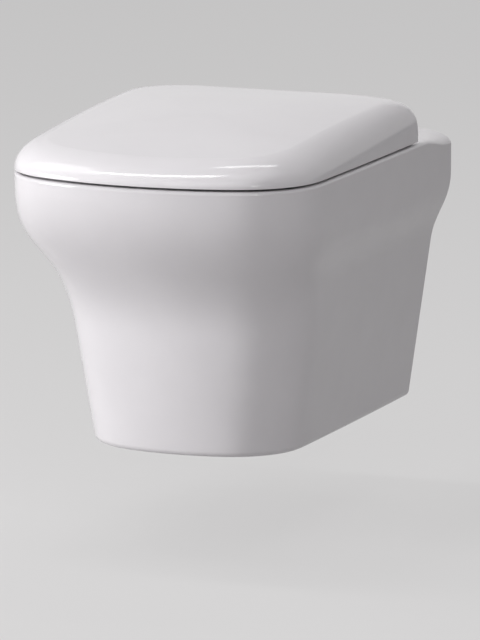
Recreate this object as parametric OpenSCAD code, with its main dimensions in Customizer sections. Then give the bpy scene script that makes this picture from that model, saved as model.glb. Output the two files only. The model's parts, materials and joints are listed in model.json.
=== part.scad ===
// Wall hung toilet: glazed pan, hidden wall fixings, flush inlet seal, seat and wrap-over lid.
// Millimetres, +Z up, the front faces -Y, the wall is the plane y = 0.
// The origin lies on the wall, midway between the two fixing studs.

/* [Pan rim] */
// From the wall to the front of the rim
rim_length = 540; // [520:1:570]
// Half of the greatest width of the rim
rim_half_w = 180; // [172:1:190]
// From the wall to the widest place of the rim
rim_widest = 398; // [380:1:410]
// How much the half width shrinks from there to the wall
rim_taper = 7.3; // [4:0.1:12]
// Radius of the front arc of the rim
rim_front_r = 354; // [330:1:420]
// Radius of the front corners of the rim
rim_corner_r = 95; // [80:1:110]
// Small radius along the top edge under the lid
rim_edge_r = 4; // [2:0.5:6]
// Height of the same edge where it meets the wall
deck_edge_h = 16; // [12:0.5:18]
// Width of the same edge where it meets the wall
deck_edge_w = 41; // [30:1:44]

/* [Pan skirt] */
// Height of the pan from its flat base to the rim
pan_h = 318; // [310:1:340]
// From the wall to the front of the base
base_length = 427; // [410:1:450]
// Half of the greatest width of the base
base_half_w = 124; // [118:1:140]
// From the wall to the widest place of the base
base_widest = 300; // [280:1:320]
// How much the half width of the base shrinks to the wall
base_taper = 3.5; // [2:0.1:6]
// Radius of the front arc of the base
base_front_r = 238; // [220:1:280]
// Radius of the front corners of the base
base_corner_r = 84; // [70:1:95]
// Radius of the bottom edge
base_edge_r = 7; // [4:0.5:10]
// Depth below the rim at which the sides start to tuck in
side_start = 41; // [30:1:50]
// Depth of the neck of the sides
side_neck = 132; // [120:1:150]
// Share of the side tuck that is reached at the neck
side_share = 0.48; // [0.4:0.01:0.6]
// Depth of the neck of the front
front_neck = 190; // [170:1:200]
// Share of the front tuck that is reached at the neck
front_share = 0.87; // [0.8:0.01:0.95]

/* [Pan walls] */
// Thickness of the outer wall
wall_t = 12; // [10:0.5:15]
// Thickness of the deck and the rim
deck_t = 15; // [13:0.5:18]
// Thickness of the base floor
floor_t = 13; // [11:0.5:16]
// Thickness of the web that carries the wall fixings
web_t = 16; // [14:0.5:20]
// How far the web reaches below the fixing studs
web_drop = 32; // [28:1:36]

/* [Bowl and trap] */
// Width of the rim at the front of the bowl
rim_front_w = 48; // [42:1:54]
// Width of the rim beside the bowl
rim_side_w = 45; // [40:1:50]
// From the wall to the back of the bowl opening
bowl_back = 150; // [146:1:156]
// Radius of the rim's inner edge
bowl_edge_r = 6; // [4:0.5:8]
// Depth of the flushing ledge below the rim
ledge_depth = 66; // [60:1:70]
// How far the ledge steps in
ledge_w = 12; // [8:0.5:14]
// Wall thickness of the bowl and the trap
bowl_wall = 9; // [8:0.5:11]
// From the wall to the middle of the trap's lip
lip_back = 205; // [200:1:210]
// Depth of the trap's lip below the rim
lip_depth = 250; // [247:1:253]
// Half width of the trap passage
trap_half_w = 41; // [38:1:43]
// Height of the passage under the lip
throat = 45; // [42:1:46]

/* [Wall connections] */
// Height of the rim above the fixing studs
rim_above_studs = 80; // [76:1:84]
// Distance between the two fixing studs
stud_spacing = 180; // [176:1:184]
// Diameter of a fixing stud
stud_d = 12; // [10:1:12]
// Height of the flush inlet above the studs
inlet_above = 35; // [33:0.5:37]
// Depth of the outlet below the studs
outlet_below = 100; // [98:1:102]
// Outer diameter of the outlet spigot
outlet_od = 102; // [100:1:104]
// Inner diameter of the outlet spigot
outlet_id = 84; // [80:1:86]
// How far the spigot's end lies inside the wall plane
outlet_inset = 6; // [2:1:10]
// Diameter of the flush socket
socket_d = 55; // [52:1:58]
// Depth of the flush socket
socket_depth = 45; // [40:1:50]
// Diameter of the flush pipe that the seal takes
flush_pipe_d = 44; // [42:1:46]
// Diameter of the water channel behind the socket
channel_d = 38; // [34:1:42]

/* [Wall fixings] */
// Outer diameter of the plastic sleeve in the web
sleeve_d = 24; // [22:0.5:26]
// Diameter of the sleeve's flange
flange_d = 40; // [36:1:44]
// Thickness of the sleeve's flange
flange_t = 3; // [2:0.5:4]
// Width of a clamp block
block_w = 32; // [30:1:36]
// Length of a clamp block along the stud
block_l = 30; // [26:1:34]
// Height of a clamp block
block_h = 36; // [32:1:40]
// Diameter of the clamp screw
clamp_screw_d = 8; // [6:1:8]
// Diameter of the access holes in the base
access_d = 24; // [20:1:26]

/* [Lid] */
// Gap between the pan and the lid
lid_gap = 3; // [2.5:0.1:3.5]
// Wall thickness of the lid
lid_t = 4.5; // [4:0.1:5]
// From the wall to the rear edge of the lid
lid_rear = 102; // [100:1:106]
// Radius of the lid's rear corners
lid_rear_r = 19; // [16:1:24]
// Height of the straight skirt at the lid's edge
lid_skirt = 0.5; // [0.5:0.5:2]
// Height of the lid at its front edge
lid_front_h = 28; // [27.5:0.5:30]
// Height of the lid at its rear edge
lid_rear_h = 57; // [55:0.5:59]
// Width of the rounded edge at the front
lid_front_edge = 48; // [44:1:50]
// Width of the rounded edge at the rear
lid_rear_edge = 35; // [32:1:38]
// How square the rounded edge is at the front, 2 is an ellipse
lid_front_square = 1.9; // [1.85:0.05:2.2]
// How square the rounded edge is at the rear
lid_rear_square = 3.2; // [2.8:0.1:3.4]
// Rise of the lid's top from its edge to its middle
lid_crown = 5; // [4:0.5:5.5]
// Rise of the lid's side above a straight line from front to rear
lid_arch = 7; // [5:0.5:8]
// Growth of the rear corner's radius for each millimetre of inset
lid_corner_growth = 2; // [1.5:0.1:2.2]

/* [Seat] */
// Height of the seat's underside above the rim
seat_lift = 4.5; // [4:0.5:5]
// Thickness of the seat
seat_t = 11.5; // [11:0.5:12]
// How far the seat's edge lies inside the rim's edge
seat_inset = 19; // [18:0.5:21]
// From the wall to the rear edge of the seat
seat_rear = 123; // [121:1:126]
// From the wall to the rear of the seat hole
hole_rear = 190; // [180:1:200]
// From the wall to the front of the seat hole
hole_front = 458; // [440:1:465]
// Half width of the seat hole
hole_half_w = 112; // [104:1:118]

/* [Hinges] */
// Distance between the two hinge posts
hinge_spacing = 155; // [150:1:160]
// From the wall to the hinge axis
hinge_back = 90; // [88:0.5:91]
// Height of the hinge axis above the rim
hinge_h = 35; // [34.5:0.1:35.5]
// Radius of the hinge barrels and eyes
barrel_r = 8; // [7.5:0.1:8.5]
// Length of a post's barrel
barrel_l = 34; // [30:1:36]
// Length of each hinge eye
eye_l = 15; // [12:1:16]
// Side clearance between barrel and eyes
side_gap = 0.6; // [0.4:0.1:1]
// Diameter of the hinge pin
pin_d = 6; // [5:0.5:6]
// Outer diameter of the bushes in the eyes
bush_d = 9; // [8:0.5:9]
// Outer diameter of a damper
damper_d = 11.6; // [10:0.1:12]
// Diameter of the round base under a post
base_d = 44; // [42:1:46]
// Thickness of the round base
base_t = 3.4; // [3:0.1:3.8]
// Thickness of the gasket under the base
gasket_t = 1; // [0.9:0.1:1.2]
// From the post to the screw in its base
screw_offset = 17; // [16:0.5:18]
// Diameter of the holes in the deck
deck_hole_d = 15; // [14:0.5:16]
// Diameter of the hinge screws
hinge_screw_d = 6; // [5:0.5:6]

/* [Fits] */
// Radial clearance of a pin in its bush
running_fit = 0.06; // [0.03:0.01:0.09]
// Radial clearance of parts pushed together
push_fit = 0.05; // [0.03:0.01:0.1]
// Radial clearance of the stud in its hole
stud_fit = 0.25; // [0.1:0.05:0.4]
// Gap between parts that rest on each other
seat_fit = 0.2; // [0.1:0.05:0.3]

/* [Hidden] */
$fn = 64;

ceramic_white = "#eceded";
plastic_white = "#e9eaeb";
rubber_grey = "#8b8d90";
steel_grey = "#b9bcc0";

rim_z = rim_above_studs;
base_z = rim_z - pan_h;
axis_z = rim_z + hinge_h;
stud_x = stud_spacing / 2;
post_x = hinge_spacing / 2;
lip_z = rim_z - lip_depth + lip_r();
sump_z = lip_z - lip_r() - throat;
outlet_z = -outlet_below;
lid_z = rim_z + lid_gap;
seat_z = rim_z + seat_lift;
seat_top = seat_z + seat_t;
hinge_screw_y = -hinge_back - screw_offset;
base_y = -hinge_back - screw_offset / 2;
clamp_y = -web_t - flange_t - block_l / 2;
pool_l = 135;
throat_growth = 8;
spigot_l = 46;
seal_l = 30;
seal_inset = 2;
seal_lip = 5;
plug_head_t = 1.5;
stub_d = 10;
stub_l = 12;
neck_d = 14;
head_d = 11;
head_t = 2.4;
plug_l = 28;
nut_l = 11;
seat_corner_r = 20;
notch_l = 19;
bumper_d = 14;
bumper_h = 6;
bumper_bore_d = 8;
peg_d = 6;
peg_l = 6;
front_bumper_x = 96;
front_bumper_y = rim_length - 50;
rear_bumper_x = 142;
rear_bumper_y = hole_rear + 5;
lid_bumper_x = 70;
lid_bumper_y = rim_length - 68;
lid_boss_z = seat_top + 3;
lid_eye_x = post_x - barrel_l / 2 - side_gap - eye_l;
seat_eye_x = post_x + barrel_l / 2 + side_gap;

// The lip is a round edge, half as thick again as the bowl's wall
function lip_r() = bowl_wall;
function mix(a, b, t) = a + (b - a) * t;
function clamp01(t) = min(1, max(0, t));
function smooth(t) = let (u = clamp01(t)) u * u * u * (10 - 15 * u + 6 * u * u);
function sgn_pow(v, p) = sign(v) * pow(abs(v), p);

// Points of an arc with their outward normals
function arc(centre, r, a0, a1, steps, first = 0) = [
    for (i = [first : steps])
        let (a = mix(a0, a1, i / steps))
            [centre.x + r * cos(a), centre.y + r * sin(a), cos(a), sin(a)]
];

// A plan is three tangent arcs: side, corner and front. The side arc is widest at its middle.
function plan(length, half_w, widest, taper, front_r, corner_r) =
    let (
        side_r = (widest * widest + taper * taper) / (2 * taper),
        side_c = [half_w - side_r, -widest],
        front_c = [0, front_r - length],
        r1 = side_r - corner_r,
        r2 = front_r - corner_r,
        d = front_c - side_c,
        q = (r1 * r1 - r2 * r2 + d * d) / (2 * norm(d)),
        e = d / norm(d),
        h = sqrt(max(0, r1 * r1 - q * q)),
        corner_c = side_c + q * e - h * [-e.y, e.x],
        to_front = corner_c - front_c,
        to_side = corner_c - side_c
    )
    [side_c, side_r, front_c, front_r, corner_c, corner_r,
        atan2(to_front.y, to_front.x), atan2(to_side.y, to_side.x)];

// Right half of a plan, from the front centre to the wall
function half_to_wall(p, nf, nc, ns) = concat(
    arc(p[2], p[3], -90, p[6], nf),
    arc(p[4], p[5], p[6], p[7], nc, 1),
    arc(p[0], p[1], p[7], asin(-p[0].y / p[1]), ns, 1)
);

// Right half of a plan that ends in a rear corner and a straight rear edge
function half_to_rear(p, rear, rear_r, nf, nc, ns, nr) =
    let (
        y = -rear - rear_r,
        reach = p[1] - rear_r,
        dy = y - p[0].y,
        c = [p[0].x + sqrt(reach * reach - dy * dy), y],
        a = asin(dy / reach)
    )
    concat(
        arc(p[2], p[3], -90, p[6], nf),
        arc(p[4], p[5], p[6], p[7], nc, 1),
        arc(p[0], p[1], p[7], a, ns, 1),
        arc(c, rear_r, a, 90, nr, 1),
        [for (t = [0.6, 0.2]) [c.x * t, -rear, 0, 1]]
    );

function both_sides(h) = concat(
    [for (i = [len(h) - 1 : -1 : 1]) [-h[i].x, h[i].y, -h[i][2], h[i][3]]],
    h
);

function middle(ring) = [for (p = ring) 1] * ring / len(ring);

// Solid through rings of points that run anticlockwise seen from above, the highest ring first
module loft(rings) {
    n = len(rings[0]);
    m = len(rings);
    sides = [
        for (k = [0 : m - 2])
            for (i = [0 : n - 1])
                let (j = (i + 1) % n, a = k * n + i, b = k * n + j, c = b + n, d = a + n)
                    each [[a, b, c], [a, c, d]]
    ];
    top = [for (i = [0 : n - 1]) [(i + 1) % n, i, m * n]];
    bottom = [for (i = [0 : n - 1]) [(m - 1) * n + i, (m - 1) * n + (i + 1) % n, m * n + 1]];
    polyhedron(
        points = concat([for (r = rings) each r], [middle(rings[0]), middle(rings[m - 1])]),
        faces = concat(top, sides, bottom)
    );
}

// Share of the tuck at a depth below the rim: an S down to the neck, then a straight taper
function tuck(depth, start, neck, share) =
    smooth((depth - start) / (neck - start))
    * mix(share, 1, (depth - neck) / (pan_h - neck));

function skirt_plan(depth) =
    let (s = tuck(depth, side_start, side_neck, side_share), f = tuck(depth, 0, front_neck, front_share))
    plan(
        mix(rim_length, base_length, f),
        mix(rim_half_w, base_half_w, s),
        mix(rim_widest, base_widest, s),
        mix(rim_taper, base_taper, s),
        mix(rim_front_r, base_front_r, s),
        mix(rim_corner_r, base_corner_r, s)
    );

// Width and height of the deck's edge, which grow from the lid to the wall
function deck_edge(y) = mix([rim_edge_r, rim_edge_r], [deck_edge_w, deck_edge_h], smooth(1 + y / lid_rear));

// A ring of the skirt, moved in by a margin and dropped by the rounded edge where one is asked for
function skirt_ring(depth, margin, back_y, nf, nc, ns, turn = 0) =
    let (pts = both_sides(half_to_wall(skirt_plan(depth), nf, nc, ns)), last = len(pts) - 1)
    [
        for (i = [0 : last])
            let (
                p = pts[i],
                edge = turn > 0 ? deck_edge(p.y) : [0, 0],
                inset = margin + edge.x * (1 - cos(turn)),
                drop = turn > 0 ? edge.y * (1 - sin(turn)) : depth,
                at_wall = i == 0 || i == last
            )
            [p.x - inset * p[2], at_wall ? back_y : p.y - inset * p[3], rim_z - drop]
    ];

module skirt_solid() {
    first = deck_edge_h + 3;
    last = pan_h - base_edge_r;
    loft(concat(
        [for (turn = [90, 62, 36, 12]) skirt_ring(0, 0, 0, 10, 10, 7, turn)],
        [for (i = [0 : 15]) skirt_ring(mix(first, last, i / 15), 0, 0, 10, 10, 7)],
        [for (a = [30, 60, 90])
            skirt_ring(last + base_edge_r * sin(a), base_edge_r * (1 - cos(a)), 0, 10, 10, 7)]
    ));
}

// The space behind the skirt, open at the wall
module skirt_hollow() {
    loft([
        for (i = [0 : 8])
            skirt_ring(mix(deck_t, pan_h - floor_t, i / 8), wall_t, wall_t, 6, 6, 4)
    ]);
}

// The waterway is a row of rings from the bowl's opening, round the trap's lip and up to the spigot.
// A station holds the rear or upper point, the front or lower point and the half width.
function bowl_station(t) =
    let (
        depth = mix(ledge_depth, lip_depth - lip_r(), t),
        front = mix(rim_length - rim_front_w - ledge_w, lip_back + pool_l, pow(t, 1.25))
    )
    [
        [-mix(bowl_back + ledge_w, lip_back + lip_r(), pow(t, 1.4)), rim_z - depth],
        [-front, rim_z - depth],
        mix(rim_half_w - rim_side_w - ledge_w, trap_half_w + 12, pow(t, 1.5))
    ];

function rim_station(depth, flare) = [
    [-bowl_back + flare, rim_z - depth],
    [-(rim_length - rim_front_w) - flare, rim_z - depth],
    rim_half_w - rim_side_w + flare
];

// Reach of the passage round the lip, from the bowl side down to the rising leg
function throat_reach(a) =
    a < 270
        ? mix(pool_l, lip_r() + throat, pow((a - 180) / 90, 0.6))
        : mix(lip_r() + throat, lip_r() + throat + throat_growth, (a - 270) / 45);

lip_c = [-lip_back, lip_z];
rise_angle = 318;
function lip_station(a, inner = lip_r()) =
    let (u = [cos(a), sin(a)])
    [lip_c + inner * u, lip_c + throat_reach(a) * u, trap_half_w + 6 * (rise_angle - a) / 140];

weir_z = outlet_z - 18;
// A little narrower than the bore of the spigot, which is cut after it
outlet_r = outlet_id / 2 - 2;
function rise_station(t) =
    let (
        s = lip_station(rise_angle),
        climb = (weir_z - s[1].y) * t,
        step = [climb / tan(rise_angle - 270), climb]
    )
    [s[0] + step, s[1] + step, trap_half_w];

crest = rise_station(1)[1];
function crest_station(a, r) = [crest + [r * cos(a) + 6, r * sin(a)], crest + [6, 1], trap_half_w];

stations = concat(
    [for (d = [0, 1.5, 4]) rim_station(d, bowl_edge_r - sqrt(pow(bowl_edge_r, 2) - pow(bowl_edge_r - d, 2)))],
    [rim_station(16, 0), rim_station(ledge_depth - 8, 0)],
    [for (t = [0 : 7]) bowl_station(t / 8)],
    [for (a = [182 : 17 : rise_angle]) lip_station(a)],
    [rise_station(0.4), rise_station(0.8)],
    [crest_station(118, 57), crest_station(104, 58)],
    [for (y = [-46, -36]) [[y, outlet_z + outlet_r], [y, outlet_z - outlet_r], outlet_r]]
);

// Ring of a station, made larger by a wall thickness
function station_ring(s, grow, n) =
    let (
        u = (s[1] - s[0]) / norm(s[1] - s[0]),
        mid = (s[0] + s[1]) / 2,
        reach = norm(s[1] - s[0]) / 2 + grow,
        size = clamp01((s[2] - 60) / 60),
        p = 2 / mix(2, 2.4, size)
    )
    [
        for (i = [0 : n - 1])
            let (
                a = 360 * i / n + 90,
                along = reach * sgn_pow(sin(a), p),
                side = (s[2] + grow) * sgn_pow(cos(a), p)
            )
            [side, mid.x - along * u.x, mid.y - along * u.y]
    ];

module waterway() {
    above = [for (s = [stations[0]]) [s[0] + [0, 1], s[1] + [0, 1], s[2]]];
    loft([for (s = concat(above, stations)) station_ring(s, 0, 40)]);
}

// The bowl's and the trap's outer walls
module waterway_walls() {
    rows = concat(
        [for (t = [0, 0.15, 0.3, 0.5, 0.7, 0.88]) bowl_station(t)],
        [for (a = [190 : 32 : rise_angle]) let (s = lip_station(a, 10)) [s[0], s[1], s[2]]],
        [rise_station(0.1), rise_station(0.6)],
        [crest_station(118, 57), crest_station(104, 58)],
        [for (y = [-46, -30]) [[y, outlet_z + outlet_r], [y, outlet_z - outlet_r], outlet_r]]
    );
    top = rim_station(deck_t - 2, 0);
    loft([for (s = concat([top, rim_station(ledge_depth - 8, 0)], rows)) station_ring(s, bowl_wall, 32)]);
}

module along_x(x0, x1, d) {
    translate([x0, 0, 0]) rotate([0, 90, 0]) cylinder(d = d, h = x1 - x0);
}

module along_y(y0, y1, d) {
    translate([0, y0, 0]) rotate([-90, 0, 0]) cylinder(d = d, h = y1 - y0);
}

// Both sides of the object
module mirrored() {
    children();
    mirror([1, 0, 0]) children();
}

// Right copy for side 1, left copy for side -1
module on_side(side) {
    mirror([side < 0 ? 1 : 0, 0, 0]) children();
}

module pan() {
    channel_end = bowl_back + ledge_w + 4;
    color(ceramic_white)
        difference() {
            skirt_solid();
            difference() {
                skirt_hollow();
                waterway_walls();
                translate([-rim_half_w, -web_t, -web_drop]) cube([2 * rim_half_w, 2 * web_t, rim_z + web_drop]);
                translate([0, 0, inlet_above]) along_y(-socket_depth - wall_t, 0, socket_d + 2 * wall_t);
                translate([0, 0, inlet_above]) along_y(-channel_end, -socket_depth, channel_d + 2 * bowl_wall);
                translate([0, 0, outlet_z]) along_y(-spigot_l, -outlet_inset, outlet_od);
            }
            waterway();
            translate([0, 0, outlet_z]) along_y(-spigot_l, 1, outlet_id);
            translate([0, 0, inlet_above]) along_y(-socket_depth, 1, socket_d);
            translate([0, 0, inlet_above]) along_y(-channel_end, 1, channel_d);
            mirrored() {
                translate([stud_x, 0, 0]) along_y(-web_t - 1, 1, sleeve_d + 2 * push_fit);
                translate([post_x, hinge_screw_y, rim_z - deck_t - 1]) cylinder(d = deck_hole_d, h = deck_t + 2);
                translate([stud_x, clamp_y, base_z - 1]) cylinder(d = access_d, h = floor_t + 2);
            }
        }
}

// Rubber ring in the socket, with the bore that grips the flush pipe
module flush_inlet_seal() {
    color(rubber_grey)
        translate([0, 0, inlet_above])
            difference() {
                along_y(-seal_l, -seal_inset, socket_d - 2 * push_fit);
                along_y(-seal_l - 1, 0, flush_pipe_d);
                along_y(-seal_l + seal_lip, -seal_inset - seal_lip, flush_pipe_d + 4);
            }
}

module fixing_sleeve(side) {
    color(plastic_white)
        translate([side * stud_x, 0, 0])
            difference() {
                union() {
                    along_y(-web_t, 0, sleeve_d);
                    along_y(-web_t - flange_t, -web_t, flange_d);
                }
                along_y(-web_t - flange_t - 1, 1, stud_d + 2 * stud_fit);
            }
}

// Cast block on the stud, pressed onto it by a screw that is reached from below
module clamp_block(side) {
    chamfer = 4;
    w = block_w / 2;
    h = block_h / 2;
    color(steel_grey)
        translate([side * stud_x, 0, 0])
            difference() {
                translate([0, -web_t - flange_t, 0])
                    rotate([90, 0, 0])
                        linear_extrude(block_l)
                            polygon([
                                [-w, -h + chamfer], [-w + chamfer, -h], [w - chamfer, -h], [w, -h + chamfer],
                                [w, h - chamfer], [w - chamfer, h], [-w + chamfer, h], [-w, h - chamfer]
                            ]);
                along_y(-web_t - flange_t - block_l - 1, 1, stud_d + 2 * stud_fit);
                translate([0, clamp_y, -h - 1]) cylinder(d = clamp_screw_d, h = h + 1);
            }
}

module clamp_screws() {
    shank = block_h / 2 - stud_d / 2 + 3;
    color(steel_grey)
        mirrored()
            translate([stud_x, clamp_y, -stud_d / 2 - 2 * stud_fit - shank])
                difference() {
                    cylinder(d = clamp_screw_d - 2 * push_fit, h = shank);
                    translate([0, 0, -1]) cylinder(d = clamp_screw_d / 2, h = 5, $fn = 6);
                }
}

module access_plugs() {
    color(plastic_white)
        mirrored()
            translate([stud_x, clamp_y, base_z])
                difference() {
                    union() {
                        cylinder(d = access_d - 2 * seat_fit, h = floor_t);
                        translate([0, 0, -plug_head_t]) cylinder(d = access_d + 6, h = plug_head_t);
                    }
                    translate([0, 0, plug_head_t]) cylinder(d = access_d - 5, h = floor_t);
                }
}

// Round steel base with the stub that the post is pushed onto
module hinge_base(side) {
    color(steel_grey)
        translate([side * post_x, 0, rim_z + gasket_t])
            difference() {
                union() {
                    translate([0, base_y, 0]) cylinder(d = base_d, h = base_t);
                    translate([0, -hinge_back, 0]) cylinder(d = stub_d, h = base_t + stub_l);
                }
                translate([0, hinge_screw_y, -1]) cylinder(d = hinge_screw_d + 2 * seat_fit, h = base_t + 2);
                translate([0, hinge_screw_y, base_t - head_t])
                    cylinder(d1 = hinge_screw_d + 2 * seat_fit, d2 = head_d + 2 * seat_fit, h = head_t + 0.01);
            }
}

module base_gaskets() {
    color(rubber_grey)
        mirrored()
            translate([post_x, 0, rim_z])
                difference() {
                    translate([0, base_y, 0]) cylinder(d = base_d, h = gasket_t);
                    translate([0, hinge_screw_y, -1]) cylinder(d = hinge_screw_d + 2 * seat_fit, h = gasket_t + 2);
                }
}

// Countersunk screws that draw the cone nuts into the rubber plugs
module hinge_screws() {
    top = rim_z + gasket_t + base_t;
    low = rim_z - plug_l - nut_l - 2;
    color(steel_grey)
        mirrored()
            translate([post_x, hinge_screw_y, 0])
                difference() {
                    union() {
                        translate([0, 0, low]) cylinder(d = hinge_screw_d - 2 * push_fit, h = top - low);
                        translate([0, 0, top - head_t])
                            cylinder(d1 = hinge_screw_d - 2 * push_fit, d2 = head_d, h = head_t);
                    }
                    translate([0, 0, top - 2]) cylinder(d = 4, h = 3, $fn = 6);
                }
}

module expansion_plugs() {
    color(rubber_grey)
        mirrored()
            translate([post_x, hinge_screw_y, rim_z - plug_l])
                difference() {
                    cylinder(d = deck_hole_d - 2 * seat_fit, h = plug_l);
                    translate([0, 0, -1]) cylinder(d = hinge_screw_d + 2 * seat_fit, h = plug_l + 2);
                }
}

module cone_nuts() {
    color(plastic_white)
        mirrored()
            translate([post_x, hinge_screw_y, rim_z - plug_l - nut_l])
                difference() {
                    cylinder(d1 = deck_hole_d, d2 = deck_hole_d - 4, h = nut_l);
                    translate([0, 0, -1]) cylinder(d = hinge_screw_d, h = nut_l + 2);
                }
}

// Post with a barrel along the hinge axis, which holds a damper
module hinge_post(side) {
    foot = rim_z + gasket_t + base_t;
    color(steel_grey)
        translate([side * post_x, -hinge_back, 0])
            difference() {
                union() {
                    translate([0, 0, foot]) cylinder(d = neck_d, h = axis_z - foot);
                    translate([0, 0, axis_z]) along_x(-barrel_l / 2, barrel_l / 2, 2 * barrel_r);
                }
                translate([0, 0, foot - 1]) cylinder(d = stub_d + 2 * push_fit, h = stub_l + 1.5);
                translate([0, 0, axis_z]) along_x(-barrel_l / 2 - 1, barrel_l / 2 + 1, damper_d + 2 * push_fit);
            }
}

module hinge_pin(side) {
    color(steel_grey)
        on_side(side)
            translate([0, -hinge_back, axis_z])
                along_x(lid_eye_x, seat_eye_x + eye_l, pin_d);
}

// Rotary damper in the barrel, with the pin through it
module damper(side, tint) {
    color(tint)
        on_side(side)
            translate([post_x, -hinge_back, axis_z])
                difference() {
                    along_x(-barrel_l / 2, barrel_l / 2, damper_d);
                    along_x(-barrel_l / 2 - 1, barrel_l / 2 + 1, pin_d + 2 * push_fit);
                }
}

module bushes(x0) {
    color("#d8d4c8")
        mirrored()
            translate([x0, -hinge_back, axis_z])
                difference() {
                    along_x(0, eye_l, bush_d);
                    along_x(-1, eye_l + 1, pin_d + 2 * running_fit);
                }
}

// Hinge arm: an eye on the axis and a flat web that reaches to two points of the part it belongs to
module hinge_arm(x0, upper, lower) {
    eye = [-hinge_back, axis_z];
    up = (upper - eye) / norm(upper - eye);
    down = (lower - eye) / norm(lower - eye);
    translate([x0, 0, 0])
        rotate([90, 0, 90])
            linear_extrude(eye_l)
                polygon([eye, eye + barrel_r * [up.y, -up.x], upper, lower, eye + barrel_r * [-down.y, down.x]]);
    translate([x0, -hinge_back, axis_z]) along_x(0, eye_l, 2 * barrel_r);
}

module eye_bore(x0) {
    translate([x0, -hinge_back, axis_z]) along_x(-1, eye_l + 1, bush_d + 2 * push_fit);
}

function rim_plan() = skirt_plan(0);

// Height of the seat's or lid's local place between front and rear, 0 to 1
function along(y) = clamp01((y + rim_length) / (rim_length - lid_rear));

function seat_hole(a) =
    let (
        mid = -(hole_rear + hole_front) / 2,
        half_l = (hole_front - hole_rear) / 2,
        p = 2.3,
        r = 1 / pow(pow(abs(cos(a)) / hole_half_w, p) + pow(abs(sin(a)) / half_l, p), 1 / p)
    )
    [r * cos(a), mid + r * sin(a)];

module seat_ring() {
    outline = both_sides(half_to_rear(rim_plan(), seat_rear - seat_inset, seat_corner_r + seat_inset, 7, 7, 5, 4));
    mid_y = -(hole_rear + hole_front) / 2;
    m = 14;
    n = len(outline);
    points = [
        for (p = outline)
            let (
                out = [p.x - seat_inset * p[2], p.y - seat_inset * p[3]],
                inner = seat_hole(atan2(out.y - mid_y, out.x))
            )
            for (j = [0 : m - 1])
                let (
                    a = 360 * j / m,
                    u = sgn_pow(cos(a), 0.62),
                    v = sgn_pow(sin(a), 0.7),
                    q = (out + inner) / 2 + u * (out - inner) / 2
                )
                [q.x, q.y, seat_z + seat_t / 2 * (1 + v)]
    ];
    faces = [
        for (i = [0 : n - 1])
            for (j = [0 : m - 1])
                let (
                    k = (i + 1) % n,
                    l = (j + 1) % m,
                    a = i * m + j,
                    b = k * m + j,
                    c = k * m + l,
                    d = i * m + l
                )
                each [[a, d, c], [a, c, b]]
    ];
    polyhedron(points = points, faces = faces);
}

module seat() {
    color(plastic_white)
        difference() {
            union() {
                seat_ring();
                mirrored()
                    hinge_arm(
                        seat_eye_x,
                        [-seat_rear - 16, seat_z + seat_t * 0.85],
                        [-seat_rear - 10, seat_z + seat_t * 0.2]
                    );
            }
            mirrored() eye_bore(seat_eye_x);
            seat_bumper_places() translate([0, 0, seat_z - 1]) cylinder(d = peg_d, h = peg_l + 1);
        }
}

module seat_bumper_places() {
    mirrored()
        for (p = [[front_bumper_x, -front_bumper_y], [rear_bumper_x, -rear_bumper_y]])
            translate([p.x, p.y, 0]) children();
}

module seat_bumpers() {
    color(rubber_grey)
        seat_bumper_places() {
            translate([0, 0, rim_z + seat_fit]) cylinder(d = bumper_d, h = seat_lift - seat_fit);
            translate([0, 0, seat_z - 1]) cylinder(d = peg_d - 2 * push_fit, h = peg_l);
        }
}

// Plan of the rim moved in by a margin that grows from the front to the lid's rear edge. The side keeps
// its curvature and only tilts, so that no ring of the lid can cross its neighbour.
function lid_plan(e_front, e_rear) =
    let (
        k = rim_taper / pow(rim_widest, 2),
        shift = (e_rear - e_front) / (rim_length - lid_rear) / (2 * k),
        e_mid = mix(e_front, e_rear, along(-rim_widest)),
        widest = rim_widest + shift
    )
    plan(
        rim_length - e_front,
        rim_half_w - e_mid + k * shift * shift,
        widest,
        k * widest * widest,
        rim_front_r - e_front,
        rim_corner_r - e_mid
    );

// Outline of the lid at a turn of its rounded edge
function lid_outline(turn, margin, counts) =
    let (
        front_share = 1 - pow(cos(turn), 2 / lid_front_square),
        rear_share = 1 - pow(cos(turn), 2 / lid_rear_square),
        e_rear = mix(margin, lid_rear_edge, rear_share),
        rear_r = lid_rear_r + lid_corner_growth * lid_rear_edge * rear_share,
        around = lid_plan(mix(margin, lid_front_edge, front_share), e_rear)
    )
    both_sides(half_to_rear(around, lid_rear + e_rear, rear_r, counts[0], counts[1], counts[2], counts[3]));

// Height of the lid's outer face above its lower edge, without the crown
function lid_edge_h(g) = mix(lid_front_h, lid_rear_h, g) - lid_crown + 4 * lid_arch * g * (1 - g);

// Ring of the rounded edge: turn 0 is its foot, turn 90 its top
function lid_ring(turn, margin, counts) =
    [
        for (p = lid_outline(turn, margin, counts))
            let (
                g = along(p.y),
                rise = pow(sin(turn), 2 / mix(lid_front_square, lid_rear_square, g))
            )
            [p.x, p.y, lid_z + mix(lid_skirt, lid_edge_h(g) - margin, rise)]
    ];

// Ring of the crowned top, a share of the way from the middle to the rounded edge
function crown_ring(s, margin, edge) =
    let (mid = [0, -(rim_length + lid_rear) / 2])
    [
        for (p = edge)
            let (q = mid + s * ([p.x, p.y] - mid))
            [q.x, q.y, lid_z + lid_edge_h(along(q.y)) - margin + lid_crown * (1 - s * s)]
    ];

function at_height(ring, z) = [for (p = ring) [p.x, p.y, z]];

module lid_form(margin, low, turns, counts) {
    edge = lid_ring(90, margin, counts);
    skirt = lid_ring(0, margin, counts);
    loft(concat(
        [for (s = [0.05, 0.35, 0.7]) crown_ring(s, margin, edge)],
        [for (t = turns) lid_ring(t, margin, counts)],
        [at_height(skirt, low)]
    ));
}

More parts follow.
